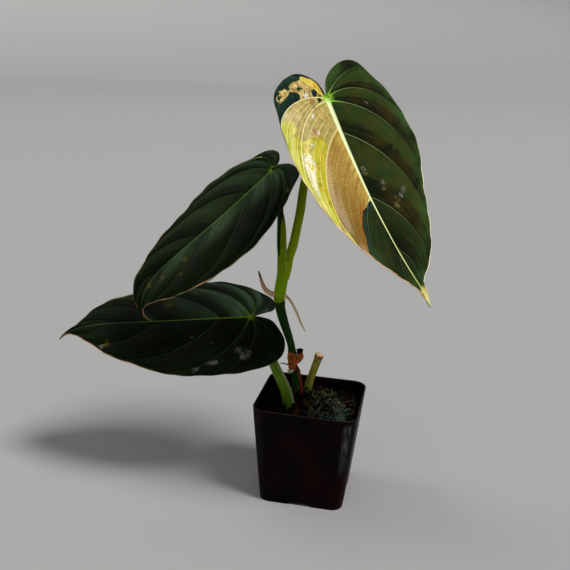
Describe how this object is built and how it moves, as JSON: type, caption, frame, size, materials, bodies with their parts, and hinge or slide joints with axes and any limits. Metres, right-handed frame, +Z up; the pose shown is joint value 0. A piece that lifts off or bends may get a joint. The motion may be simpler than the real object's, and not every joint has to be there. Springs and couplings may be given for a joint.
{
  "type": "potted variegated philodendron melanochrysum",
  "caption": "Young velvet-leaved climbing aroid with one half-variegated leaf, standing in a square tapered nursery pot of potting mix.",
  "frame": {"origin": "centre of the flat underside of the pot's floor, on the surface that the pot stands on", "axes": "+Z up, -Y towards the side the three leaves face, +X to the right of that view"},
  "size_m": [0.2251, 0.0892, 0.2656],
  "materials": {
    "pot_plastic": "thin black moulded plastic, glossy, faintly scuffed",
    "potting_mix": "dark damp peat and bark with moss",
    "dark_stem": "smooth dark green plant skin",
    "pale_stem": "smooth olive-lime plant skin",
    "petiole_base": "smooth fresh green plant skin, paler on its wing",
    "dark_blade": "velvety near-black green with paler veins",
    "variegated_blade": "half velvety dark green, half lime, gold and tan",
    "bark": "dry fibrous red-brown bark",
    "root": "dull tan-pink root skin",
    "dried_sheath": "papery cream dried sheath"
  },
  "bodies": {
    "root": {"pot": "pot_plastic", "soil": "potting_mix", "stem": "dark_stem", "upper_stem": "pale_stem", "petiole_variegated": "pale_stem", "petiole_middle": "dark_stem", "petiole_lower": "petiole_base", "cataphyll": "pale_stem", "leaf_variegated": "variegated_blade", "leaf_middle": "dark_blade", "leaf_lower": "dark_blade", "cut_petiole": "pale_stem", "dried_stub": "bark", "aerial_root_left": "root", "aerial_root_right": "root", "side_root": "root", "soil_root": "root", "torn_sheath": "dried_sheath"}
  },
  "joints": []
}
